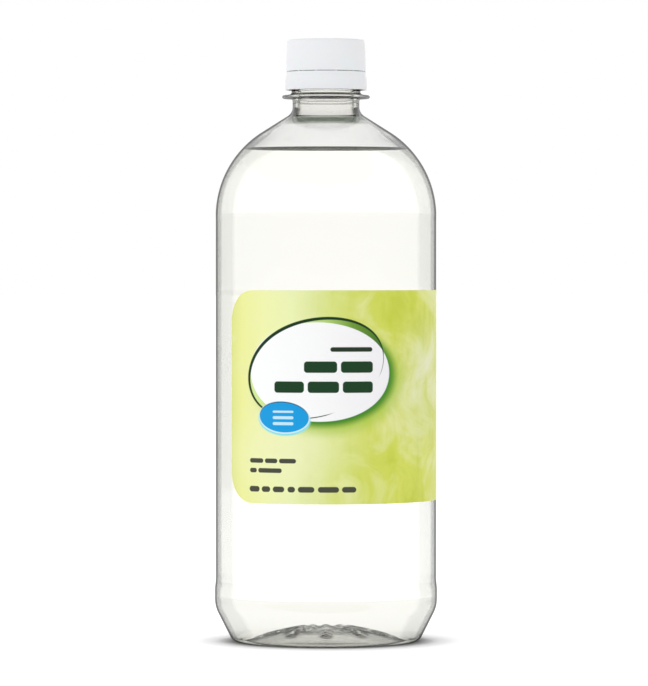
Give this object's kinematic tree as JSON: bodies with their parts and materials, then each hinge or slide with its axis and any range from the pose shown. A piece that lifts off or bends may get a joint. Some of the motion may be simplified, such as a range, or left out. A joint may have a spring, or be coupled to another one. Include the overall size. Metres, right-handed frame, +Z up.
{
  "type": "vinegar bottle",
  "caption": "Clear round plastic bottle full of vinegar, with a domed shoulder, a white screw cap with tamper band and a wrap-round printed label.",
  "frame": {"origin": "centre of the standing ring, on the surface that the bottle stands on", "axes": "+Z up along the bottle's axis, -Y out of the front of the label"},
  "size_m": [0.0837, 0.0836, 0.2265],
  "materials": {
    "clear_plastic": "gloss",
    "vinegar": "clear",
    "white_cap": "satin",
    "label_film": "satin"
  },
  "bodies": {
    "root": {"bottle": "clear_plastic", "vinegar": "vinegar", "cap": "white_cap", "label": "label_film"}
  },
  "joints": []
}
